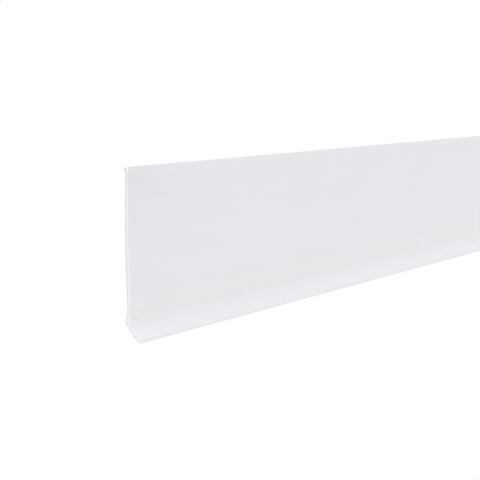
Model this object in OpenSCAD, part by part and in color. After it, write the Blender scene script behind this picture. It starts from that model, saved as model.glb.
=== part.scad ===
// Adhesive door sweep, in millimetres: a rigid extruded panel that sticks to the
// face of a door, with a soft sealing lip along its top edge and a soft sweep lip
// along its foot. Two runs of foam tape, each under a release liner, hold it.
//
// Frame: +X along the strip, +Y towards the door, +Z up. The door's face is the
// plane y = 0, and the origin is the centre of the upper adhesive face.
// The sections are drawn flat, as [y, height above the floor line].

/* [Strip] */
// Length of the strip, which is cut to the width of the door
strip_length = 1000; // [300:50:2500]
// Height from the floor line to the top edge
strip_height = 100; // [80:1:150]

/* [Panel] */
// Thickness at the top of the panel
panel_top_t = 2.4; // [2.2:0.1:3]
// Thickness just above the foot
panel_foot_t = 3.0; // [2.8:0.1:3.2]
// Height above which the panel starts to thin
thinning_z = 26; // [24:1:40]
// Radius of the flare that brings the back out to the heel
flare_r = 10.7; // [10:0.1:12]
// Height at which the front starts to step back towards the heel
step_top_z = 22; // [18.5:0.5:23]
// Height at which the front has stepped back
step_foot_z = 13.5; // [13.2:0.1:15]

/* [Foam tape] */
// Width of each run of tape
tape_w = 15; // [9:1:20]
// Thickness of the foam
tape_t = 2; // [1.8:0.1:2.1]
// Thickness of the release liner
liner_t = 0.1; // [0.08:0.02:0.16]
// How far the liner stands past each side of its tape
liner_edge = 0.5; // [0:0.1:1]
// How far the tape and its liner stop short of each end of the strip
tape_inset = 3; // [2:0.5:10]
// From the top edge of the strip down to the middle of the upper tape
upper_tape_drop = 18.5; // [16:0.5:22]
// From the floor line up to the middle of the lower tape
lower_tape_z = 32; // [28:1:40]

/* [Top lip] */
// Height of the lip, from its bead to the top edge
top_lip_h = 6.6; // [5:0.2:9]
// Gap left between the relaxed lip and the door
top_lip_gap = 0.8; // [0.6:0.1:1]
// Drop of the lip's top face from front to back
top_fall = 0.7; // [0.3:0.1:1]
// Rounding of the lip's front and back top corners
top_round = 0.4; // [0.2:0.1:0.5]

/* [Sweep lip] */
// Radius of the heel bead that the lip bends about
bead_r = 2; // [1.9:0.05:2.1]
// Height of the heel bead's centre
heel_z = 11.7; // [11.4:0.1:12]
// Radius of the fillet between the heel and the toe
fillet_r = 3; // [2:0.5:4]
// Slope of the front where the fillet ends, from upright
fillet_slope = 32; // [28:1:36]
// Radius of the toe's hollow front
toe_r = 24; // [22:1:28]
// Slope of the toe's front at its tip, from upright
tip_slope = 60.5; // [58:0.5:62]
// Radius of the toe's underside
underside_r = 28; // [27:0.5:30]
// Slope of the underside where it leaves the heel, from upright
heel_slope = 31; // [29:0.5:33]

/* [Hidden] */

arc_steps = 24;               // straight pieces in each arc of a section
seam_gap = 0.06;              // running clearance of a bead in its cup
heel_cup = 1.3;               // how far the panel's foot stands above the heel bead's centre
top_cup = 0.75;               // how far the panel's top stands below the top bead's centre
flare_gap = 0.12;             // gap between the panel's foot and the door
neck_turn = 20;               // where the top lip's sides leave its bead, above the bead's middle

back_y = -(tape_t + liner_t);
front_y = back_y - panel_foot_t;
top_front_y = back_y - panel_top_t;
origin_z = strip_height - upper_tape_drop;

top_bead_r = panel_top_t / 2;
top_bead = [back_y - top_bead_r, strip_height - top_lip_h];
heel_bead = [-bead_r, heel_z];
foot_z = heel_z + heel_cup;
panel_top_z = top_bead.y - top_cup;

neck_y = heel_bead.x - bead_r;
fillet_centre = [neck_y - fillet_r, heel_z];
toe_centre = fillet_centre - (toe_r - fillet_r) * [cos(fillet_slope), -sin(fillet_slope)];
underside_centre = heel_bead + (underside_r - bead_r) * [-cos(heel_slope), sin(heel_slope)];

// Points along an arc, with angles anticlockwise from the direction of the door.
function arc(centre, r, from, to) =
    [for (i = [0 : arc_steps])
        let (a = from + (to - from) * i / arc_steps)
        centre + r * [cos(a), sin(a)]];

// Runs a flat section along the strip, in the strip's own frame, up to an inset
// from each end.
module extrude_strip(inset = 0) {
    translate([inset - strip_length / 2, 0, -origin_z])
        rotate([90, 0, 90])
            linear_extrude(strip_length - 2 * inset)
                children();
}

module bead(centre, r) {
    translate(centre) circle(r = r, $fn = 96);
}

// The rigid panel: a slim wedge whose foot steps back towards the door, with a cup
// along each end that holds the bead of a soft lip.
module carrier_panel() {
    turn = acos(1 + (flare_gap + back_y) / flare_r);
    flare_centre = [back_y + flare_r, foot_z + flare_r * sin(turn)];
    drop = step_top_z - step_foot_z;
    depth = neck_y - front_y;
    step_r = (drop * drop + depth * depth) / (4 * depth);
    step_turn = asin(drop / (2 * step_r));
    color("whitesmoke") extrude_strip() difference() {
        polygon(concat(
            [[neck_y, foot_z]],
            arc([neck_y - step_r, step_foot_z], step_r, 0, step_turn),
            arc([front_y + step_r, step_top_z], step_r, 180 + step_turn, 180),
            [[front_y, thinning_z],
             [top_front_y, panel_top_z],
             [back_y, panel_top_z]],
            arc(flare_centre, flare_r, 180, 180 + turn)));
        bead(heel_bead, bead_r + seam_gap);
        bead(top_bead, top_bead_r + seam_gap);
    }
}

// The soft top lip: its front carries on from the panel, and its back flares out
// until its corner all but touches the door.
module top_lip() {
    neck = top_bead_r * [cos(neck_turn), sin(neck_turn)];
    neck_back = top_bead + neck;
    corner = [-top_lip_gap - top_round, strip_height - top_fall - top_round];
    reach = corner.x + top_round - neck_back.x;
    rise = corner.y - neck_back.y;
    lip_r = (rise * rise + reach * reach) / (2 * reach);
    lip_turn = asin(rise / lip_r);
    color("white") extrude_strip() union() {
        bead(top_bead, top_bead_r);
        polygon(concat(
            [top_bead],
            arc(neck_back + [lip_r, 0], lip_r, 180, 180 - lip_turn),
            arc(corner, top_round, 0, 75),
            arc([top_front_y + top_round, strip_height - top_round], top_round, 90, 180),
            [top_bead + [-neck.x, neck.y]]));
    }
}

// The soft sweep lip: a round heel that rolls in the panel's cup, and a toe that
// reaches forward and down from it to the floor line.
module sweep_lip() {
    tip_turn = asin(underside_centre.y / underside_r);
    color("white") extrude_strip() union() {
        bead(heel_bead, bead_r);
        polygon(concat(
            [heel_bead],
            arc(fillet_centre, fillet_r, 0, -fillet_slope),
            arc(toe_centre, toe_r, -fillet_slope, -tip_slope),
            arc(underside_centre, underside_r, -tip_turn, -heel_slope)));
    }
}

// One run of foam tape on the panel's back, with its middle at the height z.
module tape(z) {
    color("gainsboro") extrude_strip(tape_inset)
        translate([back_y, z - tape_w / 2])
            square([tape_t, tape_w]);
}

// The release liner over a run of tape, whose outer face is the door's plane.
module liner(z) {
    liner_w = tape_w + 2 * liner_edge;
    color("lightsteelblue") extrude_strip(tape_inset)
        translate([-liner_t, z - liner_w / 2])
            square([liner_t, liner_w]);
}

module upper_tape() { tape(origin_z); }
module lower_tape() { tape(lower_tape_z); }
module upper_liner() { liner(origin_z); }
module lower_liner() { liner(lower_tape_z); }

carrier_panel();
top_lip();
sweep_lip();
upper_tape();
lower_tape();
upper_liner();
lower_liner();
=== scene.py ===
"""Looks of the adhesive door sweep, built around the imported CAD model.

The frame is the CAD's: +X along the strip, +Y towards the door, +Z up, in metres. Sections are
drawn in millimetres, as (y, height above the floor line), and run along the strip.
"""
import math

import bpy
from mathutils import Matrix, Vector, noise


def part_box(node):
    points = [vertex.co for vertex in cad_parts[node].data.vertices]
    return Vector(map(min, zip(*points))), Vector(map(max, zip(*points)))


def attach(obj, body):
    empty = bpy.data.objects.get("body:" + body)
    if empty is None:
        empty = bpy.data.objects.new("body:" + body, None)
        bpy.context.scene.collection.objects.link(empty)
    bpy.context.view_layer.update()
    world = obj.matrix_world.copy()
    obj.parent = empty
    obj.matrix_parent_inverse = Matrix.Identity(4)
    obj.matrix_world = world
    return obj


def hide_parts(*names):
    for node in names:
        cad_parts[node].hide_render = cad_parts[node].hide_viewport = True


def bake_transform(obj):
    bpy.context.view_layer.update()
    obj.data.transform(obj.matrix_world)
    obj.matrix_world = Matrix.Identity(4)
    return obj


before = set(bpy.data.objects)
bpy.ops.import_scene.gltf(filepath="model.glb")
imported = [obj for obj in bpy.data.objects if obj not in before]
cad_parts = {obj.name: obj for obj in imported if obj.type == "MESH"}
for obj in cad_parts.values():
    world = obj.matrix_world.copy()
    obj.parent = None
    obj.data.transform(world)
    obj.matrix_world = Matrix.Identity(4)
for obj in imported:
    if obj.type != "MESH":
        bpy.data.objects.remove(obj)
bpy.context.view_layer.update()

MM = 0.001
END_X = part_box("carrier_panel")[1].x
FLOOR_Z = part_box("sweep_lip")[0].z

# ---------------------------------------------------------------- camera, floor and light

CAMERA_AT = Vector((-0.90517, -0.41902, 0.06614))
CAMERA_YAW = math.radians(39.486)
CAMERA_DIP = math.radians(8.757)
CAMERA_LENS = 77.746
CAMERA_NEAREST = 0.01
FLOOR_HALF = 12
WHITE = (1, 1, 1, 1)
KEY_ENERGY = 0.53
KEY_SPREAD = math.radians(70)
KEY_FROM = Vector((-0.10, -0.06, 0.12))


def add_camera():
    data = bpy.data.cameras.new("camera")
    data.lens = CAMERA_LENS
    data.sensor_width = 36
    data.clip_start = CAMERA_NEAREST
    camera = bpy.data.objects.new("camera", data)
    ahead = Vector((math.cos(CAMERA_YAW) * math.cos(CAMERA_DIP),
                    math.sin(CAMERA_YAW) * math.cos(CAMERA_DIP),
                    -math.sin(CAMERA_DIP)))
    camera.location = CAMERA_AT
    camera.rotation_euler = ahead.to_track_quat("-Z", "Y").to_euler()
    bpy.context.scene.collection.objects.link(camera)
    bpy.context.scene.camera = camera


def add_floor():
    half = FLOOR_HALF
    mesh = bpy.data.meshes.new("floor")
    corners = [(-half, -half), (half, -half), (half, half), (-half, half)]
    mesh.from_pydata([(x, y, FLOOR_Z) for x, y in corners], [], [(0, 1, 2, 3)])
    material = bpy.data.materials.new("floor_white")
    material.use_nodes = True
    nodes = material.node_tree.nodes
    nodes.clear()
    glow = nodes.new("ShaderNodeEmission")
    glow.inputs["Color"].default_value = WHITE
    glow.inputs["Strength"].default_value = 1
    out = nodes.new("ShaderNodeOutputMaterial")
    material.node_tree.links.new(glow.outputs[0], out.inputs["Surface"])
    mesh.materials.append(material)
    floor = bpy.data.objects.new("floor", mesh)
    bpy.context.scene.collection.objects.link(floor)


def add_light():
    scene = bpy.context.scene
    scene.view_settings.view_transform = "Standard"
    world = bpy.data.worlds.new("studio")
    world.use_nodes = True
    sky = world.node_tree.nodes["Background"]
    sky.inputs["Color"].default_value = WHITE
    sky.inputs["Strength"].default_value = 1
    scene.world = world

    data = bpy.data.lights.new("key", "SUN")
    data.energy = KEY_ENERGY
    data.angle = KEY_SPREAD
    key = bpy.data.objects.new("key", data)
    key.rotation_euler = KEY_FROM.to_track_quat("Z", "Y").to_euler()
    scene.collection.objects.link(key)


# ---------------------------------------------------------------- sections, in millimetres

BACK_Y = -2.1           # the panel's back, and the foam's inner face
TOP_FRONT_Y = -4.5      # the panel's front at its top
FOOT_FRONT_Y = -5.1     # the panel's front above the step to the heel
TOP_Z = 100.0
THINNING_Z = 26.0       # where the panel starts to thin towards its top
TOP_LAND_Z = 92.65      # where the top lip meets the panel
TOP_BEAD = (-3.3, 93.4)
TOP_BEAD_R = 1.2
LIP_NECK_Z = 93.2       # where the top lip's back starts to lean
LIP_CREST = (-0.8, 99.3)
LIP_ROUND = 0.4
FLARE = (9.82, 19.2)    # the flare that brings the panel's back out to the heel
FLARE_R = 11.92
STEP_Z = (13.5, 22.0)   # where the front steps back to the heel
FOOT_LAND_Z = 13.0      # where the sweep lip meets the panel
HEEL = (-2.0, 11.7)
HEEL_R = 2.0
FILLET = (-7.0, 11.7)   # between the heel and the toe
FILLET_R = 3.0
FILLET_SLOPE = 32.0
TOE = (-24.81, 22.83)   # the toe's hollow front
TOE_R = 24.0
TOE_SLOPE = 60.5
TIP_ROUND = 0.35        # of the toe's two corners
UNDERSIDE = (-24.29, 25.09)
UNDERSIDE_R = 28.0
HEEL_SLOPE = 30.5
NOSE = (-1.155, 11.46)  # the heel's back, rounded tighter than its bead
NOSE_R = 1.15
NOSE_TOP = 15.6
WEB_BOW = 1.0           # how far the web stands back at the middle of its height
WEB_Z = (13.0, 98.0)    # the heights that it stands back between
WANDER = 0.04           # how far the whole extrusion wanders off straight
SEAM = 0.01             # half the hairline between the panel and a lip

ARC_STEP = 0.35         # length of the straight pieces of an arc
ROUND_STEP = 0.1        # the same on the top lip's small corners
CORNER_STEPS = 5
LONGEST_EDGE = 2.5      # of a section, before longer edges are cut up

LIP_RISE = LIP_CREST[1] - LIP_ROUND - LIP_NECK_Z
LIP_REACH = LIP_CREST[0] - BACK_Y
LIP_BACK_R = (LIP_RISE * LIP_RISE + LIP_REACH * LIP_REACH) / (2 * LIP_REACH)


def arc(centre, r, start, stop, step=ARC_STEP):
    """Points along an arc, in degrees anticlockwise from the direction of the door."""
    steps = max(2, math.ceil(abs(math.radians(stop - start)) * r / step))
    turns = [math.radians(start + (stop - start) * i / steps) for i in range(steps + 1)]
    return [(centre[0] + r * math.cos(a), centre[1] + r * math.sin(a)) for a in turns]


def angle_at(centre, point):
    return math.degrees(math.atan2(point[1] - centre[1], point[0] - centre[0]))


def on_circle(centre, r, z, side):
    """The point of a circle at height z, on its door side (1) or its front side (-1)."""
    return (centre[0] + side * math.sqrt(r * r - (z - centre[1]) ** 2), z)


def fillet(before, corner, after, r):
    """A rounded corner, from the edge that comes from before to the edge that goes to after."""
    corner = Vector(corner)
    a = (Vector(before) - corner).normalized()
    b = (Vector(after) - corner).normalized()
    half = a.angle(b) / 2
    centre = corner + (a + b).normalized() * (r / math.sin(half))
    start = corner + a * (r / math.tan(half)) - centre
    stop = corner + b * (r / math.tan(half)) - centre
    sweep = start.angle(stop)
    points = []
    for i in range(CORNER_STEPS + 1):
        t = i / CORNER_STEPS
        v = (start * math.sin((1 - t) * sweep) + stop * math.sin(t * sweep)) / math.sin(sweep)
        points.append(tuple(centre + v))
    return points


def resample(outline):
    """The closed outline with its long edges cut into shorter ones."""
    points = []
    for i, p in enumerate(outline):
        q = outline[(i + 1) % len(outline)]
        pieces = max(1, math.ceil(math.dist(p, q) / LONGEST_EDGE))
        points += [(p[0] + (q[0] - p[0]) * k / pieces, p[1] + (q[1] - p[1]) * k / pieces)
                   for k in range(pieces)]
    return points


def panel_outline():
    foot, land = FOOT_LAND_Z + SEAM, TOP_LAND_Z - SEAM
    cup_r, top_cup_r = HEEL_R + SEAM, TOP_BEAD_R + SEAM
    foot_front, foot_back = (on_circle(HEEL, cup_r, foot, side) for side in (-1, 1))
    land_front, land_back = (on_circle(TOP_BEAD, top_cup_r, land, side) for side in (-1, 1))
    flare_foot = on_circle(FLARE, FLARE_R, foot, -1)
    neck_y = HEEL[0] - HEEL_R
    depth, drop = neck_y - FOOT_FRONT_Y, STEP_Z[1] - STEP_Z[0]
    step_r = (drop * drop + depth * depth) / (4 * depth)
    turn = math.degrees(math.asin(drop / (2 * step_r)))
    return ([foot_front, (neck_y, foot)]
            + arc((neck_y - step_r, STEP_Z[0]), step_r, 0, turn)[:-1]
            + arc((FOOT_FRONT_Y + step_r, STEP_Z[1]), step_r, 180 + turn, 180)
            + [(FOOT_FRONT_Y, THINNING_Z), (TOP_FRONT_Y, land), land_front]
            + arc(TOP_BEAD, top_cup_r, angle_at(TOP_BEAD, land_front) + 360,
                  angle_at(TOP_BEAD, land_back) + 360)[1:-1]
            + [land_back, (BACK_Y, land)]
            + arc(FLARE, FLARE_R, 180, angle_at(FLARE, flare_foot) + 360)
            + [foot_back]
            + arc(HEEL, cup_r, angle_at(HEEL, foot_back), angle_at(HEEL, foot_front))[1:-1])


def top_lip_outline():
    land, bead_r = TOP_LAND_Z + SEAM, TOP_BEAD_R - SEAM
    bead_front, bead_back = (on_circle(TOP_BEAD, bead_r, land, side) for side in (-1, 1))
    front_corner = (TOP_FRONT_Y + LIP_ROUND, TOP_Z - LIP_ROUND)
    crest = (LIP_CREST[0] - LIP_ROUND, LIP_CREST[1] - LIP_ROUND)
    fall = 90 + angle_at(front_corner, crest)
    back = arc((BACK_Y + LIP_BACK_R, LIP_NECK_Z), LIP_BACK_R, 180,
               180 - math.degrees(math.asin(LIP_RISE / LIP_BACK_R)))
    return ([bead_front, (TOP_FRONT_Y, land)]
            + arc(front_corner, LIP_ROUND, 180, fall, ROUND_STEP)
            + arc(crest, LIP_ROUND, fall, 0, ROUND_STEP)
            + back[-2::-1]
            + [(BACK_Y, land), bead_back]
            + arc(TOP_BEAD, bead_r, angle_at(TOP_BEAD, bead_back),
                  angle_at(TOP_BEAD, bead_front))[1:-1])


def sweep_lip_outline():
    seam, bead_r = FOOT_LAND_Z - SEAM, HEEL_R - SEAM
    neck_y = HEEL[0] - HEEL_R
    bead_front, bead_back = (on_circle(HEEL, bead_r, seam, side) for side in (-1, 1))
    flare_foot = on_circle(FLARE, FLARE_R, seam, -1)
    toe = (arc(FILLET, FILLET_R, 0, -FILLET_SLOPE)[:-1]
           + arc(TOE, TOE_R, -FILLET_SLOPE, -TOE_SLOPE))
    under = arc(UNDERSIDE, UNDERSIDE_R, -math.degrees(math.asin(UNDERSIDE[1] / UNDERSIDE_R)),
                -HEEL_SLOPE)
    return ([bead_front, (neck_y, seam)] + toe[:-2]
            + fillet(toe[-3], toe[-1], under[0], TIP_ROUND)
            + fillet(toe[-1], under[0], under[3], TIP_ROUND)
            + under[2:-1]
            + arc(NOSE, NOSE_R, -HEEL_SLOPE, NOSE_TOP)
            + [flare_foot, bead_back]
            + arc(HEEL, bead_r, angle_at(HEEL, bead_back), angle_at(HEEL, bead_front))[1:-1])


# ---------------------------------------------------------------- meshes

RING_PITCH = 0.02       # metres between the rings of an extrusion
SHARP = math.radians(38)
EASE = 0.12             # mm that the edges of a saw cut are eased by
SEAM_EASE = 0.01        # and by which they are eased in a seam
SEAM_REACH = 0.05       # mm around a seam that count as in it

FOAM_RINGS = 200
FOAM_ROWS = (0.0, 0.18, 0.5, 0.82, 1.0)     # of its thickness, up each slit edge
FOAM_COLUMNS = 10
FOAM_BULGE = 0.12 * MM
FOAM_WANDER = 0.1 * MM
FOAM_SLANT = 0.4 * MM   # how far its ends are cut off square
FOAM_SUNK = 0.02 * MM   # how far it is pressed into the panel's back

FILM_RINGS = 240
FILM_COLUMNS = 24
FILM_STUCK = 0.94       # share of the film's width that the foam holds
FILM_CURL = 0.22 * MM
FILM_END_CURL = 0.25 * MM
FILM_END = 4 * MM       # how far in from its ends it curls more


def area(outline):
    return sum(p[0] * q[1] - q[0] * p[1] for p, q in zip(outline, outline[1:] + outline[:1])) / 2


def inset(outline, depth):
    """Each point of an anticlockwise outline, moved inwards; depth is a number for each point."""
    moved = []
    for i, p in enumerate(outline):
        a, b = Vector(outline[i - 1]), Vector(outline[(i + 1) % len(outline)])
        along = ((Vector(p) - a).normalized() + (b - Vector(p)).normalized()).normalized()
        moved.append((p[0] - along.y * depth[i], p[1] + along.x * depth[i]))
    return moved


def in_seam(y, z):
    """Whether a point of a section is where the panel and a lip join, inside the strip."""
    near = SEAM_REACH
    return ((z > FOOT_LAND_Z - near and math.dist((y, z), HEEL) < HEEL_R + near)
            or (z < TOP_LAND_Z + near and math.dist((y, z), TOP_BEAD) < TOP_BEAD_R + near))


def bow(x, z):
    """How far the web bows back, and the whole extrusion wanders off straight, in metres."""
    share = min(1, max(0, (z / MM - WEB_Z[0]) / (WEB_Z[1] - WEB_Z[0])))
    return (WEB_BOW * math.sin(math.pi * share)
            + WANDER * noise.noise(Vector((x * 7, 3.1, z * 9)))) * MM


def skin(name, vertices, count):
    """A closed smooth mesh over rings of count points, which follow each other along X.

    The points of each ring run anticlockwise, with the door to the right and up upwards.
    """
    last = len(vertices) - count
    faces = [tuple(range(count - 1, -1, -1)), tuple(range(last, last + count))]
    for a in range(0, last, count):
        for k in range(count):
            n = (k + 1) % count
            faces.append((a + k, a + n, a + count + n, a + count + k))
    mesh = bpy.data.meshes.new(name)
    mesh.from_pydata(vertices, [], faces)
    mesh.update()
    for polygon in mesh.polygons:
        polygon.use_smooth = True
    mesh.set_sharp_from_angle(angle=SHARP)
    piece = bpy.data.objects.new(name, mesh)
    bpy.context.scene.collection.objects.link(piece)
    return piece


def extrude(name, outline):
    """A strip of one section between two square saw cuts, whose edges are eased by hand."""
    section = resample(outline)
    if area(section) < 0:
        section.reverse()
    edge = END_X - EASE * MM
    rings = max(2, round(2 * edge / RING_PITCH))
    vertices = []

    def ring(x, points):
        vertices.extend((x, y * MM + bow(x, z * MM), FLOOR_Z + z * MM) for y, z in points)

    def eased(seed):
        depth = [SEAM_EASE if in_seam(y, z) else
                 EASE * (0.75 + 0.5 * noise.noise(Vector((seed, y * 0.6, z * 0.6))))
                 for y, z in section]
        return inset(section, depth)

    ring(-END_X, eased(1.7))
    for i in range(rings + 1):
        ring(-edge + 2 * edge * i / rings, section)
    ring(END_X, eased(8.3))
    return skin(name, vertices, len(section))


def foam_run(name, node):
    """A run of slit foam: its long edges bulge a little and wander with the slitting."""
    low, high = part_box(node)
    thick, half = high.y - low.y, (high.z - low.z) / 2
    middle = (high.z + low.z) / 2
    vertices = []
    for i in range(FOAM_RINGS + 1):
        x = low.x + (high.x - low.x) * i / FOAM_RINGS
        ring = []
        for side in (-1, 1):
            wander = FOAM_WANDER * noise.noise(Vector((x * 40, side * 5.0, middle * 90)))
            edge = half - FOAM_BULGE + wander
            for t in FOAM_ROWS if side < 0 else FOAM_ROWS[::-1]:
                bulge = FOAM_BULGE * (1 - (2 * t - 1) ** 2)
                ring.append((t, side * (edge + bulge)))
            for k in range(1, FOAM_COLUMNS):
                ring.append((1.0 if side < 0 else 0.0, side * edge * (1 - 2 * k / FOAM_COLUMNS)))
        for t, z in ring:
            slant = FOAM_SLANT * z / half if i in (0, FOAM_RINGS) else 0
            y = low.y + thick * t
            inner = bow(x, middle + z - FLOOR_Z) * (1 - t)
            vertices.append((x + slant, y + inner - FOAM_SUNK * (t == 0), middle + z))
    return skin(name, vertices, len(ring))


def liner_film(name, node):
    """A release film over a run of foam, whose free edges curl in towards the panel."""
    low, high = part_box(node)
    thick, half = high.y - low.y, (high.z - low.z) / 2
    middle = (high.z + low.z) / 2
    vertices = []
    for i in range(FILM_RINGS + 1):
        x = low.x + (high.x - low.x) * i / FILM_RINGS
        top, bottom = [], []
        for k in range(FILM_COLUMNS + 1):
            u = -1 + 2 * k / FILM_COLUMNS
            free = max(0, (abs(u) - FILM_STUCK) / (1 - FILM_STUCK))
            wave = 0.5 + 0.5 * noise.noise(Vector((x * 55, u * 2.2, middle * 70)))
            end = max(0, 1 - min(x - low.x, high.x - x) / FILM_END)
            curl = FILM_CURL * free * free * wave + FILM_END_CURL * free * end
            z = middle + u * half
            top.append((x, high.y - curl, z))
            bottom.append((x, high.y - thick - curl, z))
        vertices += top + bottom[::-1]
    return skin(name, vertices, 2 * (FILM_COLUMNS + 1))


# ---------------------------------------------------------------- materials

def rgb(r, g, b):
    return (r, g, b, 1.0)


def tint(color, factor):
    return rgb(*(channel * factor for channel in color[:3]))


class Graph:
    """A material's node tree, with short names for what this script needs."""

    def __init__(self, name, roughness, ior):
        self.material = bpy.data.materials.new(name)
        self.material.use_nodes = True
        self.tree = self.material.node_tree
        self.shader = self.tree.nodes["Principled BSDF"]
        self.shader.inputs["Roughness"].default_value = roughness
        self.shader.inputs["IOR"].default_value = ior
        self.place = self.add("ShaderNodeTexCoord").outputs["Object"]

    def add(self, kind, **settings):
        node = self.tree.nodes.new(kind)
        for key, value in settings.items():
            setattr(node, key, value)
        return node

    def set(self, socket, value):
        if isinstance(value, bpy.types.NodeSocket):
            self.tree.links.new(value, socket)
        else:
            socket.default_value = value

    def noise(self, along, across, up, detail):
        """Noise of the place, with so many waves to the metre on each axis."""
        mapping = self.add("ShaderNodeMapping")
        self.set(mapping.inputs["Vector"], self.place)
        mapping.inputs["Scale"].default_value = (along, across, up)
        texture = self.add("ShaderNodeTexNoise")
        self.set(texture.inputs["Vector"], mapping.outputs[0])
        texture.inputs["Scale"].default_value = 1.0
        texture.inputs["Detail"].default_value = detail
        return texture.outputs["Fac"]

    def ramp(self, value, low, high, to_low=0.0, to_high=1.0, smooth=True):
        """value from low..high to to_low..to_high, held at the ends."""
        node = self.add("ShaderNodeMapRange",
                        interpolation_type="SMOOTHSTEP" if smooth else "LINEAR")
        for key, number in (("From Min", low), ("From Max", high),
                            ("To Min", to_low), ("To Max", to_high)):
            node.inputs[key].default_value = number
        self.set(node.inputs["Value"], value)
        return node.outputs["Result"]

    def math(self, operation, a, b=0.0):
        node = self.add("ShaderNodeMath", operation=operation)
        self.set(node.inputs[0], a)
        self.set(node.inputs[1], b)
        return node.outputs[0]

    def mix(self, factor, a, b):
        node = self.add("ShaderNodeMix", data_type="RGBA")
        self.set(node.inputs["Factor"], factor)
        self.set(node.inputs["A"], a)
        self.set(node.inputs["B"], b)
        return node.outputs["Result"]

    def scale(self, color, factor):
        node = self.add("ShaderNodeVectorMath", operation="SCALE")
        self.set(node.inputs[0], color)
        self.set(node.inputs["Scale"], factor)
        return node.outputs[0]

    def stops(self, value, colors):
        """A colour for each value, from a dictionary of place (0 to 1) to colour."""
        node = self.add("ShaderNodeValToRGB")
        self.set(node.inputs[0], value)
        ramp = node.color_ramp
        while len(ramp.elements) < len(colors):
            ramp.elements.new(1.0)
        for element, place in zip(ramp.elements, colors):
            element.position = place
            element.color = colors[place]
        return node.outputs["Color"]

    def split(self, vector):
        node = self.add("ShaderNodeSeparateXYZ")
        self.set(node.inputs[0], vector)
        return node.outputs

    def inside(self, y, z, centre, radius, straight_z=None):
        """How deep a place of the section lies from a back edge, an arc about centre.

        radius is under 0 for a round edge, whose centre is in the strip's front. Over
        straight_z, if it is given, the edge runs straight up.
        """
        turn = self.ramp(z, *(FLOOR_Z + end * MM for end in WEB_Z), 0, math.pi, False)
        bowed = self.math("MULTIPLY", self.math("SINE", turn), WEB_BOW * MM)
        over = self.math("SUBTRACT", self.math("SUBTRACT", y, bowed), centre[0] * MM)
        if straight_z is not None:
            z = self.math("MINIMUM", z, FLOOR_Z + straight_z * MM)
        up = self.math("SUBTRACT", z, FLOOR_Z + centre[1] * MM)
        square = self.math("ADD", self.math("MULTIPLY", over, over),
                           self.math("MULTIPLY", up, up))
        away = self.math("SQRT", square)
        if radius > 0:
            return self.math("SUBTRACT", away, radius * MM)
        return self.math("SUBTRACT", -radius * MM, away)

    def bump(self, height, strength, depth, under=None):
        node = self.add("ShaderNodeBump")
        node.inputs["Strength"].default_value = strength
        node.inputs["Distance"].default_value = depth
        self.set(node.inputs["Height"], height)
        if under is not None:
            self.set(node.inputs["Normal"], under)
        return node.outputs["Normal"]

    def color(self, value):
        self.set(self.shader.inputs["Base Color"], value)

    def roughness(self, value):
        self.set(self.shader.inputs["Roughness"], value)

    def normal(self, value):
        self.set(self.shader.inputs["Normal"], value)


PAINTED_SHADES = {              # the white of the front by height above the floor line, with painted light and shade in it: lighter and darker bands up the foot, the step and the web
    3: rgb(0.790, 0.797, 0.826),
    6: rgb(0.779, 0.785, 0.816),
    9: rgb(0.760, 0.764, 0.789),
    12.3: rgb(0.784, 0.785, 0.798),
    14: rgb(0.773, 0.775, 0.789),
    18: rgb(0.783, 0.785, 0.799),
    23: rgb(0.753, 0.755, 0.771),
    28: rgb(0.749, 0.754, 0.779),
    36: rgb(0.754, 0.761, 0.793),
}
PAINTED_END_SHADE, PAINTED_BODY_SHADE = 0.05, 0.01    # painted shade: how much darker the plastic is painted at the near end, and on the rest of it
PAINTED_SHADE_LENGTH = 60.0                  # how far from the end that runs
PAINTED_SHADE_Z = (35.0, 85.0)               # the heights between which it sets in
PAINTED_SHADE_FOOT = 0.4                     # share of it that the foot still has
SAWN = rgb(0.812, 0.810, 0.808)
# painted shade along the back rim of each saw cut
SAWN_RIM_SHADE = tint(SAWN, 0.85)
RIM_WIDTH = 0.45                    # over which a cut's rim of painted shade turns lighter
SAW_MARK = 0.96                     # of the cut's colour, in a mark
SAW_SCALE = 620
CUT_NORMAL = (0.8, 0.95)            # the length of a normal's X on a square cut
CUT_ROUGHER = 0.18
PVC_IOR = 1.53
RIGID_ROUGHNESS, SOFT_ROUGHNESS = 0.40, 0.48


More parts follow.
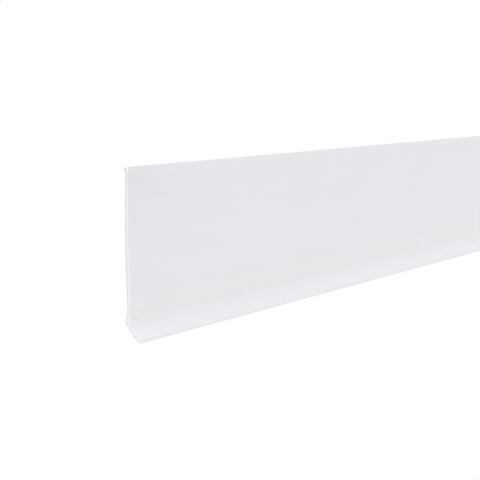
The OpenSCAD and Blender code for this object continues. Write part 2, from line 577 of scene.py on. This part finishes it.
def pvc(name, roughness, back_edge, rim_depth):
    """White extruded PVC: fine die lines along the strip, and saw marks on its square cuts, with
    painted light and shade by height, and painted shade at the near end and on each cut's back
    rim.

    back_edge is what Graph.inside takes, and rim_depth is how deep a cut's rim of painted shade
    is.
    """
    g = Graph(name, roughness, PVC_IOR)
    x, y, z = g.split(g.place)
    height = g.ramp(z, FLOOR_Z, FLOOR_Z + TOP_Z * MM, smooth=False)
    # painted light and shade by height, worked into the white itself
    white = g.stops(height, {up / TOP_Z: shade for up, shade in PAINTED_SHADES.items()})
    streak = g.noise(1.2, 140, 140, detail=2)
    lines = g.noise(5, 1300, 1300, detail=3)
    grain = g.noise(2600, 2600, 2600, detail=2)
    cloud = g.noise(14, 14, 14, detail=2)

    # painted shade: darker at the near end, most towards its top
    near_end = g.ramp(x, -END_X, -END_X + PAINTED_SHADE_LENGTH * MM, PAINTED_END_SHADE, PAINTED_BODY_SHADE)
    near_top = g.ramp(z, *(FLOOR_Z + end * MM for end in PAINTED_SHADE_Z), PAINTED_SHADE_FOOT, 1.0)
    light = g.math("SUBTRACT", 1.0, g.math("MULTIPLY", near_end, near_top))
    light = g.math("MULTIPLY", light, g.ramp(streak, 0.3, 0.7, 0.99, 1.0))
    light = g.math("MULTIPLY", light, g.ramp(lines, 0.35, 0.65, 1.0, 0.99))
    light = g.math("MULTIPLY", light, g.ramp(cloud, 0.35, 0.7, 1.0, 0.993))
    color = g.scale(white, light)

    normal_x = g.split(g.add("ShaderNodeNewGeometry").outputs["Normal"])["X"]
    cut = g.ramp(g.math("ABSOLUTE", normal_x), *CUT_NORMAL)
    # painted shade on the cut, along its back edge
    rim = g.ramp(g.inside(y, z, *back_edge), rim_depth * MM, (rim_depth + RIM_WIDTH) * MM)
    sawn = g.mix(rim, SAWN_RIM_SHADE, SAWN)
    saw = g.add("ShaderNodeTexWave", wave_type="BANDS", bands_direction="DIAGONAL")
    g.set(saw.inputs["Vector"], g.place)
    saw.inputs["Scale"].default_value = SAW_SCALE
    saw.inputs["Distortion"].default_value = 2.5
    saw.inputs["Detail Scale"].default_value = 0.4
    marks = g.math("MULTIPLY", saw.outputs["Fac"], cut)
    sawn = g.mix(saw.outputs["Fac"], sawn, g.scale(sawn, SAW_MARK))
    g.color(g.mix(cut, color, sawn))

    spread = g.ramp(streak, 0.3, 0.7, roughness - 0.04, roughness + 0.05)
    g.roughness(g.math("ADD", spread, g.math("MULTIPLY", cut, CUT_ROUGHER)))

    normal = g.bump(lines, 0.5, 0.012 * MM)
    normal = g.bump(grain, 0.35, 0.006 * MM, normal)
    g.normal(g.bump(marks, 0.6, 0.02 * MM, normal))
    return g.material


FOAM_DARK, FOAM_LIGHT = rgb(0.66, 0.66, 0.63), rgb(0.76, 0.76, 0.73)
FOAM_CELL = rgb(0.58, 0.58, 0.55)
FOAM_CELLS = 3200       # to the metre
FOAM_ROUGHNESS, FOAM_IOR = 0.85, 1.45


def foam():
    """Closed-cell foam: small dark cells over a body of two greys."""
    g = Graph("foam_cells", FOAM_ROUGHNESS, FOAM_IOR)
    cells = g.add("ShaderNodeTexVoronoi")
    g.set(cells.inputs["Vector"], g.place)
    cells.inputs["Scale"].default_value = FOAM_CELLS
    body = g.noise(120, 120, 120, detail=3)
    color = g.mix(g.ramp(body, 0.3, 0.7), FOAM_DARK, FOAM_LIGHT)
    g.color(g.mix(g.ramp(cells.outputs["Distance"], 0.1, 0.6), FOAM_CELL, color))
    g.normal(g.bump(cells.outputs["Distance"], 0.7, 0.08 * MM))
    return g.material


FILM_DARK, FILM_LIGHT = rgb(0.60, 0.69, 0.76), rgb(0.66, 0.75, 0.81)
FILM_FIBRE = rgb(0.72, 0.79, 0.84)
FILM_ROUGHNESS, FILM_IOR = 0.3, 1.5


def liner():
    """Pale blue release film, with faint creases and fibres."""
    g = Graph("liner_film", FILM_ROUGHNESS, FILM_IOR)
    crease = g.noise(60, 60, 160, detail=3)
    fibre = g.noise(900, 900, 900, detail=3)
    color = g.mix(g.ramp(crease, 0.3, 0.7), FILM_DARK, FILM_LIGHT)
    g.color(g.mix(g.ramp(fibre, 0.55, 0.75, 0.0, 0.4), color, FILM_FIBRE))
    g.roughness(g.ramp(fibre, 0.3, 0.7, FILM_ROUGHNESS - 0.06, FILM_ROUGHNESS + 0.06))
    normal = g.bump(crease, 0.35, 0.25 * MM)
    g.normal(g.bump(fibre, 0.2, 0.02 * MM, normal))
    return g.material


# ---------------------------------------------------------------- pieces


def dress(piece, material, node):
    piece.data.materials.append(material)
    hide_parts(node)


def add_pieces():
    rigid = pvc("rigid_white", RIGID_ROUGHNESS, (FLARE, FLARE_R, FLARE[1]), 1.0)
    soft = pvc("soft_white", SOFT_ROUGHNESS, (UNDERSIDE, -UNDERSIDE_R), 0.65)
    lean = ((BACK_Y + LIP_BACK_R, LIP_NECK_Z), LIP_BACK_R)
    crest = pvc("crest_white", SOFT_ROUGHNESS, lean, 1.5)

    panel = extrude("panel_extrusion", panel_outline())
    dress(panel, rigid, "carrier_panel")
    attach(panel, "carrier")

    top = extrude("top_seal_lip", top_lip_outline())
    dress(top, crest, "top_lip")
    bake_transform(top)

    sweep = extrude("floor_sweep_lip", sweep_lip_outline())
    dress(sweep, soft, "sweep_lip")
    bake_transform(sweep)

    foam_material, film_material = foam(), liner()
    for place in ("upper", "lower"):
        run = foam_run(f"foam_run_{place}", f"{place}_tape")
        dress(run, foam_material, f"{place}_tape")
        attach(run, "carrier")
        film = liner_film(f"film_{place}", f"{place}_liner")
        dress(film, film_material, f"{place}_liner")
        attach(film, f"{place}_liner")


add_camera()
add_floor()
add_light()
add_pieces()
